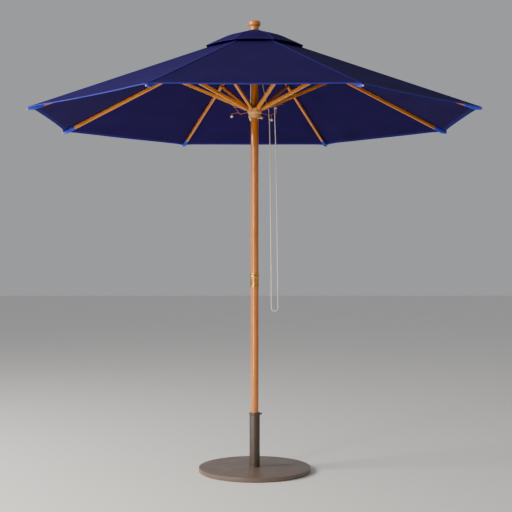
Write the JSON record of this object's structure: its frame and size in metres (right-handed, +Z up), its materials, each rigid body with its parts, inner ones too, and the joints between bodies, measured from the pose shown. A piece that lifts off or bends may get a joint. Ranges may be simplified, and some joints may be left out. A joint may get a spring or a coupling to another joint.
{
  "type": "patio umbrella with base",
  "caption": "Octagonal market umbrella with a two-piece wooden pole, folding ribs and struts, a vented canopy, a pulley rope and a weighted disc stand.",
  "frame": {"origin": "on the floor under the pole's axis", "axes": "+Z up along the pole, +X to the right and -Y towards the viewer, ribs at 22.5 degrees and every 45 degrees"},
  "size_m": [2.3096, 2.3096, 2.4942],
  "materials": {
    "wood": "varnished",
    "knob_wood": "varnished",
    "runner_wood": "satin",
    "navy_canvas": "woven",
    "dark_steel": "satin",
    "steel": "brushed",
    "brass": "satin",
    "black_plastic": "moulded",
    "rubber": "matt",
    "concrete": "cast",
    "bead": "painted",
    "rope": "braided",
    "wire": "coated"
  },
  "bodies": {
    "stand": {"base_shell": "dark_steel", "base_core": "concrete", "base_feet": "rubber", "stand_tube": "dark_steel", "stand_bolt": "steel", "clamp_collar": "dark_steel"},
    "clamp_screw": {"clamp_screw": "steel"},
    "clamp_knob": {"clamp_knob": "black_plastic"},
    "pole_sleeve": {"pole_sleeve": "black_plastic"},
    "lower_pole": {"lower_pole": "wood", "lower_ferrule": "brass"},
    "upper_pole": {"upper_pole": "wood", "upper_ring": "brass", "spigot": "steel", "crown": "knob_wood", "crown_pins": "steel", "finial_stud": "steel", "sheave_axle": "steel", "cap_washer": "steel", "hoist_rope": "rope"},
    "finial": {"finial": "knob_wood"},
    "sheave": {"sheave": "brass"},
    "lock_pin": {"lock_pin": "runner_wood"},
    "rib_1": {"rib_1": "wood", "bracket_1": "brass", "canopy_1": "navy_canvas"},
    "strut_1": {"strut_1": "wood"},
    "rib_2": {"rib_2": "wood", "bracket_2": "brass", "canopy_2": "navy_canvas"},
    "strut_2": {"strut_2": "wood"},
    "rib_3": {"rib_3": "wood", "bracket_3": "brass", "canopy_3": "navy_canvas"},
    "strut_3": {"strut_3": "wood"},
    "rib_4": {"rib_4": "wood", "bracket_4": "brass", "canopy_4": "navy_canvas"},
    "strut_4": {"strut_4": "wood"},
    "rib_5": {"rib_5": "wood", "bracket_5": "brass", "canopy_5": "navy_canvas"},
    "strut_5": {"strut_5": "wood"},
    "rib_6": {"rib_6": "wood", "bracket_6": "brass", "canopy_6": "navy_canvas"},
    "strut_6": {"strut_6": "wood"},
    "rib_7": {"rib_7": "wood", "bracket_7": "brass", "canopy_7": "navy_canvas"},
    "strut_7": {"strut_7": "wood"},
    "rib_8": {"rib_8": "wood", "bracket_8": "brass", "canopy_8": "navy_canvas"},
    "strut_8": {"strut_8": "wood"},
    "runner": {"runner": "runner_wood", "runner_pins": "steel", "runner_wires": "wire", "rope_beads": "bead"}
  },
  "joints": [
    {"name": "clamp_slide", "type": "slide", "parent": "stand", "child": "clamp_screw", "axis": [1, 0, 0], "range_m": [0, 0.00375]},
    {"name": "clamp_turn", "type": "hinge", "parent": "clamp_screw", "child": "clamp_knob", "pos_m": [0.036, 0, 0.3185], "axis": [1, 0, 0], "range_deg": [0, 1080]},
    {"name": "sleeve_turn", "type": "hinge", "parent": "stand", "child": "pole_sleeve", "pos_m": [0, 0, 0.2], "axis": [0, 0, 1], "continuous": true},
    {"name": "pole_lift", "type": "slide", "parent": "pole_sleeve", "child": "lower_pole", "axis": [0, 0, 1], "range_m": [0, 0.3]},
    {"name": "pole_joint_pull", "type": "slide", "parent": "lower_pole", "child": "upper_pole", "axis": [0, 0, 1], "range_m": [0, 0.12]},
    {"name": "finial_turn", "type": "hinge", "parent": "upper_pole", "child": "finial", "pos_m": [0, 0, 2.46], "axis": [0, 0, 1], "continuous": true},
    {"name": "sheave_turn", "type": "hinge", "parent": "upper_pole", "child": "sheave", "pos_m": [0, 0, 2.34], "axis": [-0.7071, 0.7071, 0], "continuous": true},
    {"name": "lock_pin_pull", "type": "slide", "parent": "upper_pole", "child": "lock_pin", "axis": [0.7071, -0.7071, 0], "range_m": [0, 0.07]},
    {"name": "rib_1_fold", "type": "hinge", "parent": "upper_pole", "child": "rib_1", "pos_m": [0.03141, 0.01301, 2.409], "axis": [-0.3827, 0.9239, 0], "range_deg": [0, 65], "deforming": ["canopy_1", "hoist_rope"]},
    {"name": "strut_1_swing", "type": "hinge", "parent": "rib_1", "child": "strut_1", "pos_m": [0.45376, 0.18795, 2.20528], "axis": [-0.3827, 0.9239, 0], "range_deg": [-130, 0]},
    {"name": "rib_2_fold", "type": "hinge", "parent": "upper_pole", "child": "rib_2", "pos_m": [0.01301, 0.03141, 2.409], "axis": [-0.9239, 0.3827, 0], "range_deg": [0, 65], "deforming": ["canopy_2"]},
    {"name": "strut_2_swing", "type": "hinge", "parent": "rib_2", "child": "strut_2", "pos_m": [0.18795, 0.45376, 2.20528], "axis": [-0.9239, 0.3827, 0], "range_deg": [-130, 0]},
    {"name": "rib_3_fold", "type": "hinge", "parent": "upper_pole", "child": "rib_3", "pos_m": [-0.01301, 0.03141, 2.409], "axis": [-0.9239, -0.3827, 0], "range_deg": [0, 65], "deforming": ["canopy_3"]},
    {"name": "strut_3_swing", "type": "hinge", "parent": "rib_3", "child": "strut_3", "pos_m": [-0.18795, 0.45376, 2.20528], "axis": [-0.9239, -0.3827, 0], "range_deg": [-130, 0]},
    {"name": "rib_4_fold", "type": "hinge", "parent": "upper_pole", "child": "rib_4", "pos_m": [-0.03141, 0.01301, 2.409], "axis": [-0.3827, -0.9239, 0], "range_deg": [0, 65], "deforming": ["canopy_4"]},
    {"name": "strut_4_swing", "type": "hinge", "parent": "rib_4", "child": "strut_4", "pos_m": [-0.45376, 0.18795, 2.20528], "axis": [-0.3827, -0.9239, 0], "range_deg": [-130, 0]},
    {"name": "rib_5_fold", "type": "hinge", "parent": "upper_pole", "child": "rib_5", "pos_m": [-0.03141, -0.01301, 2.409], "axis": [0.3827, -0.9239, 0], "range_deg": [0, 65], "deforming": ["canopy_5"]},
    {"name": "strut_5_swing", "type": "hinge", "parent": "rib_5", "child": "strut_5", "pos_m": [-0.45376, -0.18795, 2.20528], "axis": [0.3827, -0.9239, 0], "range_deg": [-130, 0]},
    {"name": "rib_6_fold", "type": "hinge", "parent": "upper_pole", "child": "rib_6", "pos_m": [-0.01301, -0.03141, 2.409], "axis": [0.9239, -0.3827, 0], "range_deg": [0, 65], "deforming": ["canopy_6"]},
    {"name": "strut_6_swing", "type": "hinge", "parent": "rib_6", "child": "strut_6", "pos_m": [-0.18795, -0.45376, 2.20528], "axis": [0.9239, -0.3827, 0], "range_deg": [-130, 0]},
    {"name": "rib_7_fold", "type": "hinge", "parent": "upper_pole", "child": "rib_7", "pos_m": [0.01301, -0.03141, 2.409], "axis": [0.9239, 0.3827, 0], "range_deg": [0, 65], "deforming": ["canopy_7"]},
    {"name": "strut_7_swing", "type": "hinge", "parent": "rib_7", "child": "strut_7", "pos_m": [0.18795, -0.45376, 2.20528], "axis": [0.9239, 0.3827, 0], "range_deg": [-130, 0]},
    {"name": "rib_8_fold", "type": "hinge", "parent": "upper_pole", "child": "rib_8", "pos_m": [0.03141, -0.01301, 2.409], "axis": [0.3827, 0.9239, 0], "range_deg": [0, 65], "deforming": ["canopy_8"]},
    {"name": "strut_8_swing", "type": "hinge", "parent": "rib_8", "child": "strut_8", "pos_m": [0.45376, -0.18795, 2.20528], "axis": [0.3827, 0.9239, 0], "range_deg": [-130, 0]},
    {"name": "runner_travel", "type": "hinge", "parent": "strut_1", "child": "runner", "pos_m": [0.03141, 0.01301, 2.00156], "axis": [-0.3827, 0.9239, 0], "range_deg": [0, 65]}
  ],
  "couplings": [
    {"joint": "clamp_turn", "follows": "clamp_slide", "rad_per_m": 5026.5},
    {"joint": "strut_1_swing", "follows": "rib_1_fold", "ratio": -2},
    {"joint": "rib_2_fold", "follows": "rib_1_fold", "ratio": 1},
    {"joint": "strut_2_swing", "follows": "rib_1_fold", "ratio": -2},
    {"joint": "rib_3_fold", "follows": "rib_1_fold", "ratio": 1},
    {"joint": "strut_3_swing", "follows": "rib_1_fold", "ratio": -2},
    {"joint": "rib_4_fold", "follows": "rib_1_fold", "ratio": 1},
    {"joint": "strut_4_swing", "follows": "rib_1_fold", "ratio": -2},
    {"joint": "rib_5_fold", "follows": "rib_1_fold", "ratio": 1},
    {"joint": "strut_5_swing", "follows": "rib_1_fold", "ratio": -2},
    {"joint": "rib_6_fold", "follows": "rib_1_fold", "ratio": 1},
    {"joint": "strut_6_swing", "follows": "rib_1_fold", "ratio": -2},
    {"joint": "rib_7_fold", "follows": "rib_1_fold", "ratio": 1},
    {"joint": "strut_7_swing", "follows": "rib_1_fold", "ratio": -2},
    {"joint": "rib_8_fold", "follows": "rib_1_fold", "ratio": 1},
    {"joint": "strut_8_swing", "follows": "rib_1_fold", "ratio": -2},
    {"joint": "runner_travel", "follows": "rib_1_fold", "ratio": 1}
  ]
}
